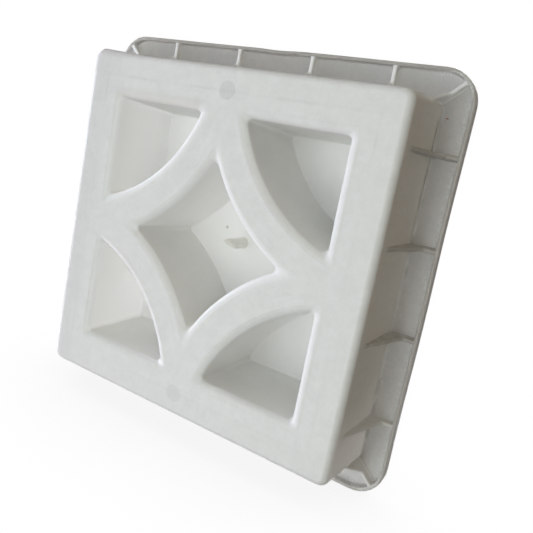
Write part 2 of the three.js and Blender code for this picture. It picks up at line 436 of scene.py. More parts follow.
class Recipe:
    """Node tree of one procedural plastic, built up step by step."""

    def __init__(self, name):
        self.material = bpy.data.materials.new(name)
        self.material.use_nodes = True
        self.nodes, self.links = self.material.node_tree.nodes, self.material.node_tree.links
        self.shader = self.nodes["Principled BSDF"]
        self.colour = None
        self.place = self.nodes.new("ShaderNodeTexCoord").outputs["Object"]
        split = self.nodes.new("ShaderNodeSeparateXYZ")
        self.links.new(self.place, split.inputs[0])
        self.x = split.outputs["X"]
        self.h = self.less(RIM_PLANE, split.outputs["Y"])
        self.v = self.less(split.outputs["Z"], MIDDLE)
        facing = self.nodes.new("ShaderNodeSeparateXYZ")
        self.links.new(self.nodes.new("ShaderNodeNewGeometry").outputs["Normal"], facing.inputs[0])
        self.faces_right = facing.outputs["X"]
        self.faces_up = facing.outputs["Z"]

    def put(self, socket, value):
        if isinstance(value, bpy.types.NodeSocket):
            self.links.new(value, socket)
        else:
            socket.default_value = value

    def maths(self, operation, first, second=0.0):
        node = self.nodes.new("ShaderNodeMath")
        node.operation = operation
        self.put(node.inputs[0], first)
        self.put(node.inputs[1], second)
        return node.outputs[0]

    def times(self, first, *others):
        for value in others:
            first = self.maths("MULTIPLY", first, value)
        return first

    def plus(self, first, *others):
        for value in others:
            first = self.maths("ADD", first, value)
        return first

    def less(self, first, second):
        return self.maths("SUBTRACT", first, second)

    def rest(self, share):
        """What a share leaves of 1."""
        return self.less(1.0, share)

    def off(self, value, middle=0.0):
        """How far value is from middle, either way."""
        return self.maths("ABSOLUTE", self.less(value, middle) if middle else value)

    def span(self, across, along):
        """Length of a step that goes so far across and so far along."""
        return self.maths("SQRT", self.plus(self.times(across, across), self.times(along, along)))

    def fade(self, value, low, high, start=0.0, end=1.0):
        """From start where value is low to end where it is high, smoothly."""
        limits = {"From_Min": low, "From_Max": high, "To_Min": start, "To_Max": end}
        node = new_node(self.nodes, "ShaderNodeMapRange", **limits)
        node.interpolation_type = "SMOOTHSTEP"
        self.put(node.inputs["Value"], value)
        return node.outputs["Result"]

    def fall(self, value, low, high):
        """From 1 where value is low to 0 where it is high, smoothly."""
        return self.fade(value, low, high, 1, 0)

    def band(self, value, start, full, last, end):
        """Rises from 0 at start to 1 at full, and falls from 1 at last to 0 at end."""
        return self.times(self.fade(value, start, full), self.fall(value, last, end))

    def pattern(self, kind, place, scales, offsets):
        """Texture node of a kind, laid over place scaled and moved."""
        spread = self.nodes.new("ShaderNodeVectorMath")
        spread.operation = "MULTIPLY_ADD"
        self.put(spread.inputs[0], place)
        spread.inputs[1].default_value = scales
        spread.inputs[2].default_value = offsets
        node = new_node(self.nodes, kind, Scale=1.0)
        self.links.new(spread.outputs[0], node.inputs["Vector"])
        return node

    def noise(self, grain, stretch=(1, 1, 1), seed=0.0, place=None, detail=2.0):
        """Noise whose patches are about grain across; stretch above 1 makes them longer that way."""
        scales = [1 / (2 * grain * long) for long in stretch]
        offsets = (seed, seed * 0.7, seed * 1.3)
        node = self.pattern("ShaderNodeTexNoise", place or self.place, scales, offsets)
        node.inputs["Detail"].default_value = detail
        return node.outputs["Fac"]

    def swing(self, noise, amount):
        """Noise turned into a swing of about amount to either side of nothing."""
        return self.times(self.less(noise, 0.5), 4 * amount)

    def relief(self, amount, *grain, **kind):
        """Bumps and hollows of about amount, patterned as noise does."""
        return self.swing(self.noise(*grain, **kind), amount)

    def patches(self, low, high, *grain, **kind):
        """1 where noise is above high, 0 where it is below low."""
        return self.fade(self.noise(*grain, **kind), low, high)

    def specks(self, spacing, size, share, seed=0.0):
        """Round specks of about size across, in a share of cells spacing wide."""
        cells = self.pattern("ShaderNodeTexVoronoi", self.place, [1 / spacing] * 3, [seed] * 3)
        pick = self.nodes.new("ShaderNodeSeparateColor")
        self.links.new(cells.outputs["Color"], pick.inputs[0])
        chosen = self.maths("LESS_THAN", pick.outputs[0], share)
        width = size / spacing
        return self.times(chosen, self.fall(cells.outputs["Distance"], width * 0.3, width * 0.7))

    def crevice(self, reach):
        """1 deep in a crevice, 0 in the open, judged within reach."""
        node = new_node(self.nodes, "ShaderNodeAmbientOcclusion", Distance=reach)
        node.samples = 8
        return self.rest(node.outputs["AO"])

    def tint(self, colour, share, other):
        node = self.nodes.new("ShaderNodeMix")
        node.data_type = "RGBA"
        self.put(node.inputs["Factor"], share)
        self.put(node.inputs["A"], colour)
        self.put(node.inputs["B"], other)
        return node.outputs["Result"]

    def mottle(self, colour, broad, middling, fine):
        """Starts with cloudy plastic, whose brightness swings over about 9, 3 and 1 mm."""
        swings = ((9 * MM, broad, 3.1), (3 * MM, middling, 7.7), (0.8 * MM, fine, 12.3))
        swings = [self.relief(amount, grain, seed=seed) for grain, amount, seed in swings]
        self.colour = colour
        self.shade(self.plus(1.0, *swings))

    def paint(self, other, *shares):
        """Lays another colour over what is there, as far as the product of its shares."""
        self.colour = self.tint(self.colour, self.times(*shares), other)

    def shade(self, factor):
        """Makes what is there lighter or darker by a factor."""
        node = self.nodes.new("ShaderNodeVectorMath")
        node.operation = "SCALE"
        self.put(node.inputs[0], self.colour)
        self.put(node.inputs["Scale"], factor)
        self.colour = node.outputs[0]

    def paint_glow(self, strength, colour):
        """Painted glow: emission that stands in for light soaking through the thin plastic, shown as a
        faint glow.
        """
        self.put(self.shader.inputs["Emission Color"], (*colour, 1))
        self.put(self.shader.inputs["Emission Strength"], strength)

    def finish(self, roughness, *reliefs):
        """Reliefs are heights in metres, laid over one another as bump."""
        uneven = self.relief(0.05, 5 * MM, seed=21.0)
        self.put(self.shader.inputs["Base Color"], self.colour)
        self.put(self.shader.inputs["Roughness"], self.plus(roughness, uneven))
        self.shader.inputs["Specular IOR Level"].default_value = 0.42
        bump = new_node(self.nodes, "ShaderNodeBump", Strength=1.0, Distance=1.0)
        self.put(bump.inputs["Height"], self.plus(*reliefs))
        self.links.new(bump.outputs[0], self.shader.inputs["Normal"])
        return self.material


# Colours

NATURAL = (0.88, 0.885, 0.86)
CORE_COLOUR = (0.882, 0.882, 0.858)
# The right wall's warmer, darker colour: painted shade
RIGHT_WALL_SHADE_COLOUR = (0.865, 0.84, 0.80)
# Darker, greyer colours for the rim and lip: painted shade
SHADED_RIM_COLOUR = (0.652, 0.634, 0.608)
SHADED_LIP_COLOUR = (0.575, 0.555, 0.518)
# Slightly darker colour for the ribs: painted shade
SHADED_RIB_COLOUR = (0.82, 0.81, 0.78)
STUB_COLOUR = (0.93, 0.92, 0.84)
COOL_GLOW = (0.88, 0.95, 1.0)
SOFT_GLOW = (0.97, 0.97, 1.0)
# Pale colour for scuffs, also laid on as painted highlights and painted light
SCUFF_AND_HIGHLIGHT = (0.93, 0.94, 0.93, 1)
# Brown grime for specks and drawn marks, also laid on as painted shade in creases and on the right ribs
GRIME_AND_SHADE = (0.20, 0.175, 0.13, 1)
RUST = (0.36, 0.12, 0.07, 1)
WARM_SHADE = (0.60, 0.55, 0.45, 1)
GREY_SHADE = (0.56, 0.57, 0.55, 1)

# Marks: two spots as x and v, and the reach of the line round the face

RUST_SPOT = (157.5 * MM, 139 * MM)
FLECK = (-20 * MM, 11 * MM)
FACE_LINE = 130 * MM


def square_reach(r):
    """Distance from the middle of the tray, measured along its sides."""
    return r.maths("MAXIMUM", r.off(r.x), r.off(r.v))


def arc_place(r):
    """Place measured round the centres of the arcs: radius, and length along the arc."""
    across = r.less(r.off(r.x), ARC_CENTRE)
    along = r.less(r.off(r.v), ARC_CENTRE)
    radius = r.span(across, along)
    length = r.times(r.maths("ARCTAN2", along, across), WINDOW_ARC_R)
    place = r.nodes.new("ShaderNodeCombineXYZ")
    r.put(place.inputs[0], radius)
    r.put(place.inputs[1], length)
    r.put(place.inputs[2], r.maths("SIGN", r.x))
    return radius, place.outputs[0]


def mouth_glow(r, radius, reach):
    """Pocket mouths: how far their rounding and a halo round it take a painted glow, and how far they take
    painted shade.
    """
    right_half = r.fade(r.x, -1 * MM, 1 * MM)
    left_half = r.rest(right_half)
    inner = r.fall(reach, HALF - 24 * MM, HALF - 22 * MM)
    lit = r.maths("MAXIMUM", r.fade(r.v, -5 * MM, 5 * MM), r.fade(r.x, -85 * MM, -25 * MM))

    # Painted glow on the rounding: where it faces right, where it faces left and up, and a painted
    # highlight on its thin far contour
    rounded = r.times(r.fade(r.faces_right, 0.05, 0.7), r.fade(r.x, -110 * MM, -30 * MM, 0.15, 0.09))
    far_rim = r.times(r.fall(r.faces_right, -0.7, -0.05), r.fade(r.faces_up, -0.3, 0.2))
    far_rim = r.times(far_rim, r.fade(r.x, -40 * MM, 20 * MM, 0.07, 0.0))
    thin_rim = r.fall(r.h, DEPTH - 2.4 * MM, DEPTH - 0.6 * MM)
    thin_rim = r.times(thin_rim, r.fall(r.faces_right, -0.5, -0.1))
    thin_rim = r.times(thin_rim, r.fade(r.faces_up, -0.3, 0.3, 0.1, 1))
    thin_rim = r.times(thin_rim, r.fade(r.x, 40 * MM, 80 * MM, 0.24, 0))
    thin_rim = r.times(thin_rim, r.fade(r.v, -112 * MM, -104 * MM, 0.3, 1))

    # The painted halo: beside the windows on the left, the star on the right and the right windows' sides
    past_window = r.fade(radius, WINDOW_ARC_R + 2 * MM, WINDOW_ARC_R + 10 * MM, 0.075, 0)
    past_star = r.fade(radius, STAR_ARC_R - 10 * MM, STAR_ARC_R - 2 * MM, 0, 0.065)
    corner = r.fade(reach, BORDER_EDGE - 1 * MM, BORDER_EDGE + 1 * MM)
    arcs = r.plus(r.times(left_half, lit, past_window), r.times(right_half, past_star))
    arcs = r.times(inner, r.rest(corner), arcs)
    past_edge = r.times(r.fade(r.x, BORDER_EDGE, BORDER_EDGE + 8 * MM, 0.09, 0), right_half, corner)
    level_with = r.fall(r.off(r.v), BORDER_EDGE - 3 * MM, BORDER_EDGE + 2 * MM)
    beside = r.times(level_with, r.fall(radius, WINDOW_ARC_R - 4 * MM, WINDOW_ARC_R + 4 * MM))

    # Painted shade on the rounding where it faces left and down, in the left half, stronger outside the lit
    # part
    mouth_shade = r.times(r.fall(r.faces_right, -0.6, -0.1), r.fall(r.faces_up, -0.2, 0.1))
    mouth_shade = r.times(inner, mouth_shade, left_half, r.plus(r.times(r.rest(lit), 0.45), 0.5))
    edges = r.times(inner, r.plus(rounded, far_rim, thin_rim))
    return r.plus(edges, r.times(past_edge, beside), arcs), mouth_shade


def face_plastic():
    """Face: cloudy, scuffed along its border and arcs, with a faint line square set in from its edge."""
    r = Recipe("polypropylene_face")
    r.mottle(NATURAL, 0.022, 0.022, 0.020)
    reach = square_reach(r)
    radius, place = arc_place(r)

    patchy = r.fade(r.noise(16 * MM, seed=5.0), 0.34, 0.56, 0.15, 1)
    line = r.times(r.fall(r.off(reach, FACE_LINE), 0.2 * MM, 2.0 * MM), patchy)
    line = r.times(line, r.fade(r.v, 90 * MM, 125 * MM, 0.3, 1))
    r.paint(GREY_SHADE, line, 0.15)

    inside_line = r.band(r.less(FACE_LINE, reach), 1 * MM, 3 * MM, 9 * MM, 11 * MM)
    rubbed = r.times(r.patches(0.42, 0.6, 2.2 * MM, seed=33.0, detail=4.0), patchy)
    r.paint(SCUFF_AND_HIGHLIGHT, inside_line, rubbed, 0.35)

    upright = r.patches(0.48, 0.64, 0.7 * MM, stretch=(1, 1, 22), seed=9.0)
    scuffed = r.times(upright, r.patches(0.44, 0.6, 14 * MM, seed=14.0))
    scuffed = r.times(scuffed, r.fade(reach, 108 * MM, 118 * MM))
    r.paint(SCUFF_AND_HIGHLIGHT, scuffed, 0.3)

    round_arcs = r.patches(0.47, 0.64, 0.9 * MM, stretch=(1, 16, 1), seed=4.0, place=place)
    brushed = r.times(round_arcs, r.patches(0.42, 0.6, 13 * MM, seed=2.0))
    brushed = r.times(brushed, r.fade(radius, WINDOW_ARC_R + 2 * MM, WINDOW_ARC_R + 8 * MM))
    brushed = r.times(brushed, r.fall(radius, STAR_ARC_R - 8 * MM, STAR_ARC_R - 2 * MM))
    r.paint(SCUFF_AND_HIGHLIGHT, brushed, 0.45)
    r.paint(GRIME_AND_SHADE, r.specks(26 * MM, 0.9 * MM, 0.10, 3.0), 0.55)

    # Painted shade along the top of the upper left window's mouth
    above = r.band(r.less(r.v, BORDER_EDGE), -4 * MM, -1 * MM, -1 * MM, 13 * MM)
    over_window = r.band(r.x, -120 * MM, -110 * MM, -30 * MM, -15 * MM)
    r.paint(WARM_SHADE, above, over_window, 0.30)

    from_mark = r.span(r.x, r.less(r.off(r.v), MARK_FROM_MIDDLE))
    mark = r.fall(from_mark, MARK_R - 0.8 * MM, MARK_R)
    r.paint(GREY_SHADE, mark, r.fade(r.v, -100 * MM, 100 * MM, 0.18, 0.30))
    # Painted shade: darker towards the left edge
    r.shade(r.fade(r.x, -150 * MM, -95 * MM, 0.93, 1))

    # Painted shade and painted glow on the pocket mouths
    glow, mouth_shade = mouth_glow(r, radius, reach)
    r.paint(GREY_SHADE, mouth_shade)
    r.paint_glow(glow, COOL_GLOW)
    orange_peel = r.relief(0.012 * MM, 2.2 * MM, seed=8.0)
    grain = r.relief(0.005 * MM, 0.7 * MM, seed=6.0)
    groove = r.times(line, -0.05 * MM)
    scratch = r.times(r.plus(scuffed, brushed), 0.012 * MM)
    return r.finish(0.43, orange_peel, grain, groove, scratch)


def core_glow(r, floor):
    """Painted glow for light that soaks into the pockets: on left walls, floors, undersides and below the
    mouths.
    """
    facing_right = r.fade(r.faces_right, 0.3, 1.0)
    leftmost = r.fall(r.x, -104 * MM, -97 * MM)
    left_walls = r.times(facing_right, leftmost, r.fade(r.v, -110 * MM, 60 * MM, 0.22, 0.18))

    in_star = r.fade(arc_place(r)[0], WINDOW_ARC_R, STAR_ARC_R)
    lower_left = r.times(r.fall(r.x, -20 * MM, 0), r.fall(r.v, -20 * MM, 0))
    floors = r.plus(r.fade(r.x, -90 * MM, 0, 0.095, 0.035), r.times(lower_left, 0.012))
    floors = r.times(floor, r.plus(floors, r.times(in_star, 0.055)))

    undersides = r.times(r.fade(r.faces_right, 0.2, 0.6), r.fall(r.faces_up, -0.6, -0.2))
    undersides = r.times(undersides, r.fade(r.x, 0, 30 * MM, 0.085, 0.045))

    facing_left = r.fade(r.faces_right, -0.2, -0.7, 0, 0.16)
    mouth = r.times(r.fade(r.h, PLATE_BACK - 5 * MM, PLATE_BACK), facing_left)
    mouth = r.times(mouth, r.fade(r.faces_up, -0.4, 0.1))
    return r.plus(left_walls, floors, undersides, mouth)


def core_plastic():
    """Pocket walls and floors: cleaner, drawn marks along the draft, a painted glow for light soaking in
    from the left, painted shade on undersides and deep left walls.
    """
    r = Recipe("polypropylene_core")
    r.mottle(CORE_COLOUR, 0.012, 0.006, 0.006)
    rubbed = r.patches(0.5, 0.7, 1.2 * MM, stretch=(1, 14, 1), seed=3.0)
    rubbed = r.times(rubbed, r.patches(0.45, 0.6, 18 * MM, seed=11.0))
    r.paint(SCUFF_AND_HIGHLIGHT, rubbed, 0.16)

    floor = r.fall(r.h, CORE_FLOOR + 0.3 * MM, CORE_FLOOR + 1.2 * MM)
    scratch = r.patches(0.63, 0.70, 0.5 * MM, stretch=(9, 1, 1), seed=1.0)
    scratch = r.times(scratch, floor, r.patches(0.55, 0.62, 12 * MM, seed=17.0))
    r.paint(SCUFF_AND_HIGHLIGHT, scratch, 0.35)
    r.paint(GRIME_AND_SHADE, r.specks(22 * MM, 0.8 * MM, 0.08, 5.0), 0.5)
    fleck = r.fall(r.span(r.less(r.x, FLECK[0]), r.less(r.v, FLECK[1])), 0.8 * MM, 2.0 * MM)
    r.paint(GRIME_AND_SHADE, fleck, floor, 0.5)

    # Painted shade on undersides that face straight down, in the left half
    overhung = r.times(r.fall(r.faces_up, -0.97, -0.9), r.fall(r.x, -30 * MM, 0))
    r.paint(GREY_SHADE, overhung, 0.26)
    # Painted shade deep down on the leftmost walls that face right, in the upper half
    deep = r.fade(r.h, CORE_FLOOR + 3 * MM, 40 * MM, 0.40, 0)
    behind = r.times(r.fade(r.v, -20 * MM, 40 * MM), deep, r.fade(r.faces_right, 0.3, 1.0))
    r.paint(GREY_SHADE, behind, r.fall(r.x, -100 * MM, -90 * MM))

    # Painted glow, standing in for light soaking into the pockets
    r.paint_glow(core_glow(r, floor), SOFT_GLOW)
    ripple = r.relief(0.012 * MM, 5 * MM, seed=8.0)
    grain = r.relief(0.003 * MM, 0.8 * MM, seed=6.0)
    return r.finish(0.46, ripple, grain)


def crease_shade(r):
    """Painted shade in the creases between wall, rim and ribs, judged by occlusion, in patches."""
    return r.times(r.fade(r.crevice(5 * MM), 0.35, 0.8), r.patches(0.35, 0.65, 9 * MM, seed=19.0))


def broken_line(r):
    """Breaks up the line of painted shade where the wall meets the rim; the same on both."""
    return r.patches(0.40, 0.62, 3 * MM, stretch=(5, 1, 5), seed=15.0)


def wall_plastic():
    """Outer wall: streaked along the draft, with painted shade where it meets the rim and the ribs, and
    painted light low on the right and towards the rim.
    """
    r = Recipe("polypropylene_wall")
    # The right side takes a warmer, darker colour: painted shade
    right_side = r.fade(r.x, HALF - 8 * MM, HALF - 2 * MM)
    r.mottle(r.tint((*NATURAL, 1), right_side, (*RIGHT_WALL_SHADE_COLOUR, 1)), 0.02, 0.02, 0.018)
    drawn = r.patches(0.45, 0.7, 1.6 * MM, stretch=(1, 9, 1), seed=3.0)
    r.paint(WARM_SHADE, drawn, right_side, 0.08)

    # Painted shade: a broken dark line in the crease where the wall meets the rim, stronger to the right
    near_rim = r.fall(r.h, FLANGE_TOP + 0.8 * MM, FLANGE_TOP + 3.2 * MM)
    near_rim = r.times(near_rim, broken_line(r), r.fade(r.x, 0, HALF, 0.15, 0.45))
    r.paint(GRIME_AND_SHADE, near_rim)
    # A dark dotted band just above the rim on the right, stronger towards the top
    dotted = r.patches(0.44, 0.56, 2.2 * MM, stretch=(3, 1, 3), seed=47.0)
    dark_band = r.band(r.less(r.h, FLANGE_TOP), 1 * MM, 3 * MM, 5 * MM, 8 * MM)
    dark_band = r.times(dark_band, dotted, right_side, r.fade(r.v, 20 * MM, 100 * MM, 0.15, 1))
    r.paint(GRIME_AND_SHADE, dark_band, 0.85)
    # Painted light: the wall lighter towards the rim
    r.paint(SCUFF_AND_HIGHLIGHT, r.fade(r.h, 8 * MM, 40 * MM, 0.22, 0))
    # Painted shade in the creases, stronger to the right
    r.paint(GRIME_AND_SHADE, crease_shade(r), r.fade(r.x, 0, HALF, 0.08, 0.28))

    # Painted glow low on the right, and on surfaces that face up
    low_right = r.times(r.fade(r.x, 0, HALF), r.fade(r.v, -140 * MM, -70 * MM, 0.09, 0))
    r.paint_glow(r.plus(low_right, r.fade(r.faces_up, 0.3, 0.9, 0, 0.05)), SOFT_GLOW)
    r.paint(GRIME_AND_SHADE, r.specks(12 * MM, 1.0 * MM, 0.10, 7.0), 0.6)
    ripple = r.relief(0.02 * MM, 5 * MM, stretch=(1, 3, 1), seed=8.0)
    grain = r.relief(0.006 * MM, 0.8 * MM, seed=6.0)
    return r.finish(0.45, ripple, grain)


def rim_plastic(name, tone):
    """Rim: darker and greyer for painted shade, grainy, with a pale speckled band beside the lip."""
    r = Recipe(name)
    r.mottle(tone, 0.03, 0.035, 0.04)
    reach = square_reach(r)
    wall_foot = HALF + WALL_DRAFT
    lip_foot = SPAN - LIP

    beside_lip = r.band(reach, lip_foot - 8 * MM, lip_foot - 1 * MM, lip_foot, lip_foot + 0.5 * MM)
    powder = r.patches(0.46, 0.60, 0.7 * MM, seed=25.0, detail=4.0)
    powder = r.times(powder, r.patches(0.3, 0.5, 9 * MM, seed=31.0))
    powder = r.times(powder, r.fade(r.x, HALF - 20 * MM, HALF, 0.15, 1))
    r.paint(SCUFF_AND_HIGHLIGHT, beside_lip, powder, 0.55)
    # Painted light: lighter out towards the lip, more on the right side
    outward = r.band(reach, wall_foot + 4 * MM, lip_foot, lip_foot - 0.3 * MM, lip_foot + 0.2 * MM)
    r.paint(SCUFF_AND_HIGHLIGHT, outward, r.fade(r.x, 0, HALF, 0.10, 0.32))

    # Painted shade along the crease where the wall meets the rim, broken up
    beside_wall = r.fall(reach, wall_foot + 0.6 * MM, wall_foot + 3 * MM)
    r.paint(GRIME_AND_SHADE, beside_wall, broken_line(r), 0.4)
    # Painted glints near the wall
    glint = r.patches(0.66, 0.72, 1.1 * MM, stretch=(4, 1, 4), seed=43.0)
    glint = r.times(glint, r.fall(reach, wall_foot + 2 * MM, wall_foot + 7 * MM))
    r.paint(SCUFF_AND_HIGHLIGHT, glint, 0.6)
    # Painted shade in the creases, faint along the bottom, stronger to the right
    shaded_crease = r.times(crease_shade(r), r.fade(r.v, -HALF - 4 * MM, -HALF + 4 * MM, 0.15, 1))
    r.paint(GRIME_AND_SHADE, shaded_crease, r.fade(r.x, 0, HALF, 0.12, 0.24))

    # Painted shade on the rim above the tray, and darker towards the bottom
    r.shade(r.fade(r.v, HALF, HALF + 5 * MM, 1, 0.955))
    r.shade(r.fade(r.v, -150 * MM, -90 * MM, 0.93, 1))
    # Painted glow where the rim faces right
    r.paint_glow(r.fade(r.faces_right, 0.4, 1.0, 0, 0.06), SOFT_GLOW)
    r.paint(GRIME_AND_SHADE, r.specks(9 * MM, 0.9 * MM, 0.12, 2.0), 0.6)
    from_spot = r.span(r.less(r.x, RUST_SPOT[0]), r.times(r.less(r.v, RUST_SPOT[1]), 2))
    r.paint(RUST, r.fade(from_spot, 0.8 * MM, 1.6 * MM, 0.8, 0))
    ripple = r.relief(0.03 * MM, 4 * MM, seed=8.0)
    grain = r.relief(0.012 * MM, 0.7 * MM, seed=6.0)
    return r.finish(0.48, ripple, grain)


def rib_plastic():
    """Ribs: low parts above the tray pale with a painted glow, brown-grey painted shade in patches on the
    right.
    """
    r = Recipe("polypropylene_rib")
    r.mottle(SHADED_RIB_COLOUR, 0.02, 0.02, 0.02)
    # Painted glow along the low crests of the top ribs, and a faint painted glow on the ribs above the tray
    above = r.fade(r.v, HALF - 5 * MM, HALF)
    low = r.band(r.less(r.h, RIB_LOW_TOP), -1.5 * MM, -0.5 * MM, 0.5 * MM, 2 * MM)
    crest = r.times(above, low, r.fade(r.x, 100 * MM, HALF, 0.20, 0.10))
    r.paint_glow(r.plus(crest, r.times(above, 0.03)), COOL_GLOW)

    # Painted shade on the right ribs, in patches, fainter low down, not at the corners
    right_side = r.fade(r.x, HALF, HALF + 2 * MM)
    not_corner = r.fall(r.off(r.v), HALF - 12 * MM, HALF - 6 * MM)
    right_rib_shade = r.times(right_side, not_corner, r.fade(r.v, -115 * MM, -30 * MM, 0.2, 1))
    shade_patches = r.fade(r.noise(5 * MM, seed=12.0), 0.2, 0.6, 0.55, 1)
    r.paint(GRIME_AND_SHADE, right_rib_shade, shade_patches, 0.45)
    # Painted shade in the creases, stronger to the right, not at the corners
    shaded_crease = r.times(r.fade(r.crevice(4 * MM), 0.4, 0.8), r.fade(r.x, 0, HALF, 0.1, 0.35), not_corner)
    r.paint(GRIME_AND_SHADE, shaded_crease)
    grain = r.relief(0.010 * MM, 0.8 * MM, seed=6.0)
    return r.finish(0.46, grain)


def stub_plastic():
    """Sprue stub: thick, so more olive than the walls; the rim of its slanted cut has a painted highlight.
    """
    r = Recipe("polypropylene_stub")
    r.mottle(STUB_COLOUR, 0.02, 0.02, 0.02)
    drawn = r.patches(0.45, 0.7, 0.8 * MM, stretch=(1, 8, 1), seed=3.0)
    r.paint(GRIME_AND_SHADE, drawn, 0.06)
    # Painted highlight on the rim of the slanted cut, with a painted glow there and a faint one over the
    # whole stub
    slope = (STUB_LONG_SIDE - STUB_SHORT_SIDE) / (2 * STUB_R)
    lean = r.times(r.plus(r.v, STUB_R), slope)
    below_cut = r.less(r.plus(lean, CORE_FLOOR + STUB_SHORT_SIDE), r.h)
    cut = r.fall(below_cut, 0.6 * MM, 1.2 * MM)
    rim = r.fade(r.span(r.x, r.v), 0.72 * STUB_R, 0.86 * STUB_R, 0.12, 1)
    r.paint(SCUFF_AND_HIGHLIGHT, cut, rim)
    r.paint_glow(r.plus(r.times(cut, rim, 0.3), 0.03), SOFT_GLOW)
    grain = r.relief(0.012 * MM, 0.8 * MM, seed=6.0)
    return r.finish(0.5, grain)


FACE_PLASTIC = face_plastic()
CORE_PLASTIC = core_plastic()
WALL_PLASTIC = wall_plastic()
RIM_PLASTIC = rim_plastic("polypropylene_rim", SHADED_RIM_COLOUR)
LIP_PLASTIC = rim_plastic("polypropylene_lip", SHADED_LIP_COLOUR)
RIB_PLASTIC = rib_plastic()
STUB_PLASTIC = stub_plastic()


# Pieces

def build_face_plate():
    shell = Shell()
    edge = [tray_level(h) for h in edge_heights(PLATE_BACK, DEPTH)]
    shell.loft(edge)
    face_holes, back_holes = [], []
    for outline_at in POCKETS.values():
        levels = mouth_levels(outline_at)
        shell.loft(levels)
        back_holes.append(levels[0][0])
        face_holes.append(levels[-1][0])
    for side in (-1, 1):
        rim = circle(0, side * MARK_FROM_MIDDLE, MARK_R)
        foot = circle(0, side * MARK_FROM_MIDDLE, MARK_R - 1.2 * MM)
        shell.loft([(rim, DEPTH), (foot, DEPTH - MARK_DEPTH)])
        shell.sheet(foot, [], DEPTH - MARK_DEPTH)
        face_holes.append(rim)
    shell.sheet(edge[-1][0], face_holes, DEPTH)
    shell.sheet(edge[0][0], back_holes, PLATE_BACK)
    return make_piece("face_plate", shell, FACE_PLASTIC)


def build_tray_wall():
    shell = Shell()
    outer = [tray_level(h) for h in np.linspace(0, DEPTH - EDGE_R, 9)]
    outer += [tray_level(h) for h in edge_heights(DEPTH - EDGE_R, PLATE_BACK)[1:]]
    inner = []
    for h in inner_heights(0):
        thick = WALL + WALL_TAPER * h / PLATE_BACK + fillet(PLATE_BACK - h, INNER_FILLET_R)
        inner.append((rounded_square(side_at(h) - thick, TRAY_CORNER_R - thick), h))
    outer_rings = shell.loft(outer)
    inner_rings = shell.loft(inner)
    shell.strip(outer_rings[0], inner_rings[0])
    shell.strip(outer_rings[-1], inner_rings[-1])
    return make_piece("tray_wall", shell, WALL_PLASTIC)


def build_core(node, outline_at):
    shell = Shell()
    pocket = []
    for near, far in quarter_round():
        h = CORE_FLOOR + FLOOR_FILLET_R * near
        pocket.append((outline_at(pocket_inset(h) + FLOOR_FILLET_R * far), h))
    heights = list(np.linspace(pocket[-1][1], MOUTH_FOOT, 9)[1:])
    heights += list(np.linspace(MOUTH_FOOT, PLATE_BACK - SEAM_STEP, 5)[1:]) + [PLATE_BACK]
    pocket += [(outline_at(pocket_inset(h)), h) for h in heights]
    end_round = 1.6 * MM
    skin = []
    for near, far in quarter_round(4):
        h = end_round * far
        skin.append((outline_at(pocket_inset(h) - CORE_WALL + end_round * near), h))
    skin.reverse()
    for h in inner_heights(end_round)[1:]:
        flare = fillet(PLATE_BACK - h, INNER_FILLET_R)
        skin.append((outline_at(pocket_inset(h) - CORE_WALL - flare), h))
    pocket_rings = shell.loft(pocket)
    skin_rings = shell.loft(skin)
    shell.strip(pocket_rings[-1], skin_rings[-1])
    shell.sheet(pocket[0][0], [], pocket[0][1])
    shell.sheet(skin[0][0], [], skin[0][1])
    return make_piece(node, shell, CORE_PLASTIC)


def build_flange():
    shell = Shell()
    foot_r, lip_r, under_r = 2.2 * MM, 1.4 * MM, 0.8 * MM

    def level(reach, h):
        start = side_at(h)
        radius = TRAY_CORNER_R + (RIM_WIDTH - TRAY_CORNER_R) * reach / (SPAN - start)
        return rounded_square(start + reach, radius), h

    def from_rim(inset, h):
        return level(SPAN - side_at(h) - inset, h)

    section = [level(0, 0)]
    section += [from_rim(under_r * far, under_r * near) for near, far in quarter_round(3)]
    section += [from_rim(0, FLANGE_TOP), from_rim(LIP, FLANGE_TOP)]
    rings = shell.loft(section)
    top = [from_rim(LIP + lip_r * near, FLANGE_TOP + lip_r * far) for near, far in quarter_round(4)]
    for reach in np.linspace(0.85, 0.2, 6):
        top.append(level(reach * (RIM_WIDTH - LIP - WALL_DRAFT), FLANGE_TOP))
    top += [level(foot_r * near, FLANGE_TOP + foot_r * far) for near, far in reversed(quarter_round(4))]
    top_rings = shell.loft(top)
    shell.strip(rings[-1], top_rings[0])
    shell.strip(top_rings[-1], rings[0])
    return make_piece("rim_flange", shell, RIM_PLASTIC)


def build_lip():
    shell = Shell()
    outer_r, inner_r = 1.3 * MM, 0.9 * MM
    section = [(0, FLANGE_TOP)]
    section += [(outer_r * near, LIP_TOP - outer_r * far) for near, far in quarter_round(5)]
    section += [(LIP - inner_r * near, LIP_TOP - inner_r * far) for near, far in reversed(quarter_round(5))]
    section.append((LIP, FLANGE_TOP))
    rings = shell.loft([(rounded_square(SPAN - inset, RIM_WIDTH - inset), h) for inset, h in section])
    shell.strip(rings[-1], rings[0])
    return make_piece("rim_lip", shell, LIP_PLASTIC)


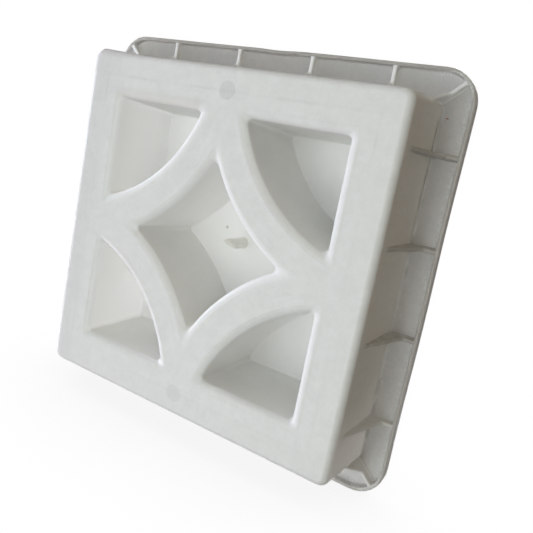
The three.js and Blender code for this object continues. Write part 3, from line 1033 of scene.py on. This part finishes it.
def rib_paths(wall_at, end, out, top_h):
    """Matching points along the root of a rib and along its free crest, as (distance, h)."""
    foot = np.array((wall_at(RIB_LOW_TOP) + out, RIB_LOW_TOP))
    apex = np.array((wall_at(top_h), top_h))
    slope = foot - apex
    top = apex - slope * (RIB_BITE + 0.2 * MM) / slope[0]
    floor = FLANGE_TOP - RIB_BITE
    crest, root = [], []
    for share in np.linspace(0, 1, 25):
        crest.append(top + (foot - top) * share)
        on_wall = min(1.0, share / 0.8)
        along = max(0.0, (share - 0.8) / 0.2)
        h = (top[1] - 2.5 * MM) * (1 - on_wall) + floor * on_wall
        start = wall_at(h) - RIB_BITE
        root.append((start + (foot[0] - start) * along, h))
    for share in np.linspace(0, 1, 9)[1:]:
        distance = foot[0] + (end + RIB_BITE - foot[0]) * share
        crest.append((distance, RIB_LOW_TOP))
        root.append((distance, floor))
    crest, root = np.array(crest), np.array(root)
    bend = np.abs(np.linspace(-24, 8, 33)) < 2.5
    smooth = crest.copy()
    smooth[1:-1] = (crest[:-2] + 2 * crest[1:-1] + crest[2:]) / 4
    crest[bend] = smooth[bend]
    return root, crest


def rib_half(distance, h, from_crest, wall_at, end):
    """Half thickness of a rib: drafted, filleted into its neighbours, rounded at the crest."""
    tip_r, root_r = 1.2 * MM, 1.3 * MM
    half = RIB_THICKNESS / 2 * (1.04 - 0.28 * (h - FLANGE_TOP) / (SIDE_RIB_APEX - FLANGE_TOP))
    near = np.minimum(distance - wall_at(h), np.minimum(h - FLANGE_TOP, end - distance))
    round_over = np.sqrt(1 - (1 - np.clip(from_crest / tip_r, 0, 1)) ** 2)
    return (half + fillet(near, root_r)) * round_over


def build_rib(node, wall_at, end, out, top_h, turns, station):
    """A gusset reaching out from the wall and up to top_h, which runs on as a low rib to the lip."""
    root, crest = rib_paths(wall_at, end, out, top_h)
    steps = np.concatenate(([0, 0.06, 0.2, 0.45, 0.8, 1.2], np.linspace(2.4, 3.4, 2))) * MM
    shell = Shell()
    sides = []
    for sign in (-1, 1):
        rows = []
        for foot, tip in zip(root, crest):
            length = np.linalg.norm(tip - foot)
            gaps = np.concatenate((np.minimum(steps, length * 0.6), np.linspace(length * 0.68, length, 7)))
            spots = tip + (foot - tip) * (gaps / length)[:, None]
            half = sign * rib_half(spots[:, 0], spots[:, 1], gaps, wall_at, end)
            flat = turned(np.column_stack((spots[:, 0], station + half)), turns)
            rows.append(shell.add([(p[0], p[1], h) for p, h in zip(flat, spots[:, 1])]))
        sides.append(rows)
        for here, after in zip(rows, rows[1:]):
            shell.quads(here, after)
    left, right = sides
    shell.quads([row[-1] for row in left], [row[-1] for row in right])
    shell.quads(left[0], right[0])
    shell.quads(left[-1], right[-1])
    return make_piece(node, shell, RIB_PLASTIC)


def build_ribs():
    for turns, side in enumerate(["right", "top", "left", "bottom"]):
        for index in (1, 2, 3, 4):
            low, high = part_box(f"rib_{side}_{index}")
            middle = (low + high) / 2
            across = turned(np.array([[middle.x, middle.z - MIDDLE]]), -turns)[0]
            out, top_h = SIDE_RIB if side in ("right", "left") else TOP_RIB
            build_rib(f"rib_{side}_{index}", side_at, SPAN - LIP, out, top_h, turns, across[1])
    corner_end = HALF * math.sqrt(2) + RIM_WIDTH - LIP - CORNER_CLEARANCE
    for turns, place in enumerate(["upper_right", "upper_left", "lower_left", "lower_right"]):
        build_rib(f"rib_corner_{place}", corner_at, corner_end, *CORNER_RIB, turns + 0.5, 0)


def build_stub():
    """Stub of the sprue, cut off at a slant: its upper side is the longer one."""
    shell = Shell()
    around = 40
    foot_r = 1.4 * MM

    def ring_at(share, radius, ridge=0.0):
        outline = circle(0, 0, radius, around)
        lean = (outline[:, 1] / STUB_R + 1) / 2
        top = STUB_SHORT_SIDE + (STUB_LONG_SIDE - STUB_SHORT_SIDE) * lean + ridge
        return shell.add([(x, y, CORE_FLOOR + t * share) for (x, y), t in zip(outline, top)])

    rings = []
    for near, far in quarter_round(4):
        outline = circle(0, 0, STUB_R + foot_r * far, around)
        rings.append(shell.ring(outline, CORE_FLOOR - 0.2 * MM + foot_r * near))
    rings += [ring_at(share, STUB_R * (1 - 0.03 * share)) for share in (0.2, 0.4, 0.6, 0.8, 0.97)]
    rings.append(ring_at(1, STUB_R * 0.93))
    rings.append(ring_at(1, STUB_R * 0.84, -0.15 * MM))
    for share, ridge in ((0.7, -0.55), (0.56, -0.4), (0.42, -0.6), (0.28, -0.4), (0.14, -0.5)):
        rings.append(ring_at(1, STUB_R * share, ridge * MM))
    for here, after in zip(rings, rings[1:]):
        shell.strip(here, after)
    shell.faces.append(tuple(rings[0]))
    shell.faces.append(tuple(rings[-1]))
    return make_piece("sprue_stub", shell, STUB_PLASTIC)


build_face_plate()
build_tray_wall()
for node, outline_at in POCKETS.items():
    build_core(node, outline_at)
build_flange()
build_lip()
build_ribs()
build_stub()


# Camera, at the photograph's viewing angle. Its place is in tray sides from the middle of the tray

CAMERA_FROM_MIDDLE = Vector((0.8934, -1.4446, 0.3200))
LOOK_AZIMUTH = 29.601
LOOK_DOWN = 9.282
CAMERA_ROLL = 10.755
LENS = 39.422
LENS_SHIFT = (0.0373, -0.0580)
SENSOR = 36

look_from = Vector((0, (PLATE_LOW.y + RIM_PLANE) / 2, MIDDLE)) + CAMERA_FROM_MIDDLE * SIDE
azimuth, down = math.radians(LOOK_AZIMUTH), math.radians(LOOK_DOWN)
forward = Vector((-math.sin(azimuth) * math.cos(down), math.cos(azimuth) * math.cos(down), -math.sin(down)))
level = forward.cross(Vector((0, 0, 1))).normalized()
upright = level.cross(forward)
roll = math.radians(CAMERA_ROLL)
right = level * math.cos(roll) + upright * math.sin(roll)
up = upright * math.cos(roll) - level * math.sin(roll)
camera_data = bpy.data.cameras.new("camera")
camera_data.lens = LENS
camera_data.sensor_width = SENSOR
camera_data.shift_x, camera_data.shift_y = LENS_SHIFT
camera_data.clip_start, camera_data.clip_end = 0.01, 50
camera = bpy.data.objects.new("camera", camera_data)
bpy.context.scene.collection.objects.link(camera)
turn = Matrix((right, up, -forward)).transposed().to_4x4()
camera.matrix_world = Matrix.Translation(look_from) @ turn
bpy.context.scene.camera = camera


# Stage and light

LAMP_DISTANCE = 2.4
LAMP_SIZE = 1.4
LAMP_POWER = 30


def area_light(name, azimuth, elevation, colour):
    """A round soft light aimed at the tray; azimuth 0 is straight in front of its face, minus is left."""
    turn, tilt = math.radians(azimuth), math.radians(elevation)
    out = Vector((math.sin(turn) * math.cos(tilt), -math.cos(turn) * math.cos(tilt), math.sin(tilt)))
    data = bpy.data.lights.new(name, "AREA")
    data.shape = "DISK"
    data.size = LAMP_SIZE
    data.energy = LAMP_POWER
    data.color = colour
    data.cycles.use_multiple_importance_sampling = False   # lamps overlap: with it they hide one another
    light = bpy.data.objects.new(name, data)
    light.location = Vector((0, 0, MIDDLE)) + out * LAMP_DISTANCE
    light.rotation_mode = "QUATERNION"
    light.rotation_quaternion = (-out).to_track_quat("-Z", "Y")
    bpy.context.scene.collection.objects.link(light)
    return light


def glow_from(nodes, links, direction, colour):
    """Soft light from one side of the world."""
    place = nodes.new("ShaderNodeTexCoord")
    facing = nodes.new("ShaderNodeVectorMath")
    facing.operation = "DOT_PRODUCT"
    facing.inputs[1].default_value = direction
    links.new(place.outputs["Generated"], facing.inputs[0])
    share = new_node(nodes, "ShaderNodeMapRange", From_Min=0.1, From_Max=0.9)
    links.new(facing.outputs["Value"], share.inputs["Value"])
    light = new_node(nodes, "ShaderNodeBackground", Color=(*colour, 1))
    links.new(share.outputs["Result"], light.inputs["Strength"])
    return light


def seen_as(tree, lit, seen, kind):
    """Output that the camera sees as seen, and everything else as lit."""
    out = tree.nodes.new(kind)
    rays = tree.nodes.new("ShaderNodeLightPath")
    mix = tree.nodes.new("ShaderNodeMixShader")
    tree.links.new(rays.outputs["Is Camera Ray"], mix.inputs["Fac"])
    tree.links.new(lit.outputs[0], mix.inputs[1])
    tree.links.new(seen.outputs[0], mix.inputs[2])
    tree.links.new(mix.outputs[0], out.inputs["Surface"])


def build_world():
    """White to the camera; as a light, a dim warm glow from the right and a cool one from below."""
    world = bpy.data.worlds.new("world")
    bpy.context.scene.world = world
    world.use_nodes = True
    nodes, links = world.node_tree.nodes, world.node_tree.links
    nodes.clear()
    shown = new_node(nodes, "ShaderNodeBackground", Color=(1, 1, 1, 1))
    both = nodes.new("ShaderNodeAddShader")
    links.new(glow_from(nodes, links, (1, 0, 0), (0.229, 0.184, 0.145)).outputs[0], both.inputs[0])
    links.new(glow_from(nodes, links, (0, 0, -1), (0.161, 0.190, 0.159)).outputs[0], both.inputs[1])
    seen_as(world.node_tree, both, shown, "ShaderNodeOutputWorld")


def build_floor():
    """Pale floor: to the camera near white with a soft contact shadow, to the object a dim bounce."""
    mesh = bpy.data.meshes.new("floor")
    reach = 8
    corners = [(-reach, -reach, 0), (reach, -reach, 0), (reach, reach, 0), (-reach, reach, 0)]
    mesh.from_pydata(corners, [], [(0, 1, 2, 3)])
    floor = bpy.data.objects.new("floor", mesh)
    bpy.context.scene.collection.objects.link(floor)
    material = bpy.data.materials.new("floor")
    material.use_nodes = True
    nodes, links = material.node_tree.nodes, material.node_tree.links
    nodes.clear()
    near = new_node(nodes, "ShaderNodeAmbientOcclusion", Distance=0.16)
    near.samples = 12
    tone = new_node(nodes, "ShaderNodeMapRange", From_Min=0.25, From_Max=0.95, To_Min=0.91, To_Max=1.0)
    links.new(near.outputs["AO"], tone.inputs["Value"])
    shown = nodes.new("ShaderNodeEmission")
    links.new(tone.outputs["Result"], shown.inputs["Color"])
    bounce = new_node(nodes, "ShaderNodeBsdfDiffuse", Color=(0.3, 0.3, 0.29, 1))
    seen_as(material.node_tree, bounce, shown, "ShaderNodeOutputMaterial")
    mesh.materials.append(material)
    floor.visible_shadow = False


build_world()
build_floor()
area_light("left_low", -80, -25, (0.643, 0.568, 0.655))
area_light("left_level", -80, 5, (0.325, 0.378, 0.488))
area_light("left_high", -80, 35, (0.227, 0.193, 0.255))
area_light("front_low", -20, -25, (0.318, 0.334, 0.337))
area_light("front_level", -20, 5, (0.344, 0.363, 0.360))
area_light("front_right_low", 10, -25, (0.155, 0.159, 0.155))
area_light("front_right_level", 10, 5, (0.125, 0.131, 0.151))
area_light("right_fill", 40, 5, (0.148, 0.152, 0.124))
area_light("overhead", 0, 70, (0.278, 0.274, 0.239))
area_light("behind", 188, 12, (0.62, 0.64, 0.63))
area_light("behind_low", 180, -30, (0.30, 0.31, 0.31))
bpy.context.scene.view_settings.view_transform = "Standard"
